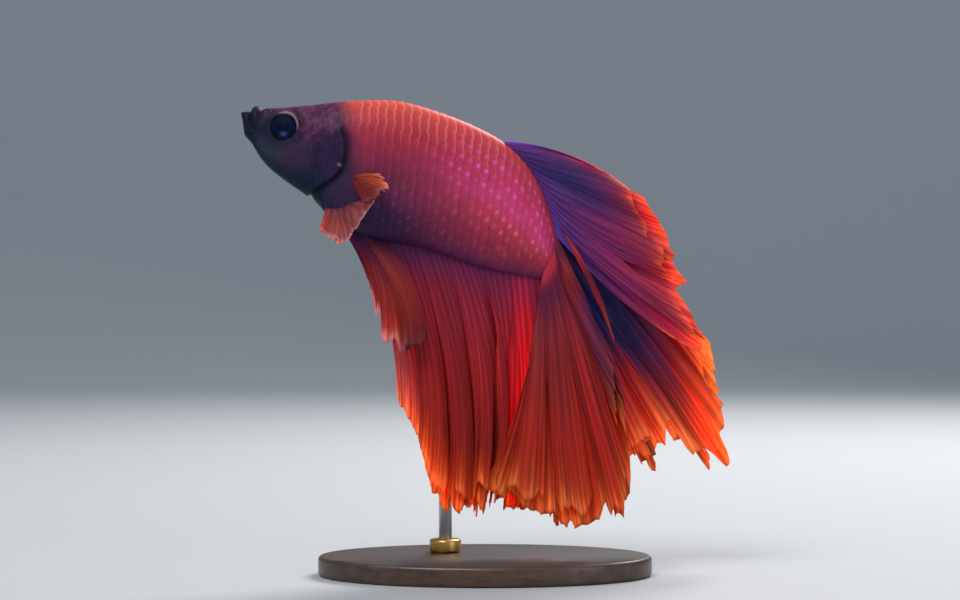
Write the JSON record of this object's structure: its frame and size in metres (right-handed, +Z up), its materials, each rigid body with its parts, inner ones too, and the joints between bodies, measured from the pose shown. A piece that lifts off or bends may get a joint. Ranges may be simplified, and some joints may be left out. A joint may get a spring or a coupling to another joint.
{
  "type": "betta fish",
  "caption": "Long-finned male Siamese fighting fish, life size and posed swimming with its fins draped, held on a rod over a flat oval display base.",
  "frame": {"origin": "centre of the stand's flat underside", "axes": "+Z up from the surface the stand rests on; the fish faces -X with its snout raised and shows its left side to -Y"},
  "size_m": [0.0737, 0.032, 0.0713],
  "materials": {
    "flesh": "moist scaled skin, red flanks and a dark head, semi-gloss",
    "eye": "dark glassy eye",
    "fin": "thin translucent red membrane over fine rays",
    "stand_wood": "dark stained and waxed",
    "stand_brass": "satin turned brass",
    "stand_steel": "brushed rod"
  },
  "bodies": {
    "root": {"head": "flesh", "lower_jaw": "flesh", "gill_cover_left": "flesh", "gill_cover_right": "flesh", "trunk": "flesh", "tail_stalk": "flesh", "eye_left": "eye", "eye_right": "eye", "pectoral_fin_left": "fin", "pectoral_fin_right": "fin", "pelvic_fin_left": "fin", "pelvic_fin_right": "fin", "dorsal_fin": "fin", "anal_fin_front": "fin", "anal_fin_rear": "fin", "caudal_fin_upper": "fin", "caudal_fin_lower": "fin", "stand_base": "stand_wood", "stand_collar": "stand_brass", "stand_rod": "stand_steel"}
  },
  "joints": []
}
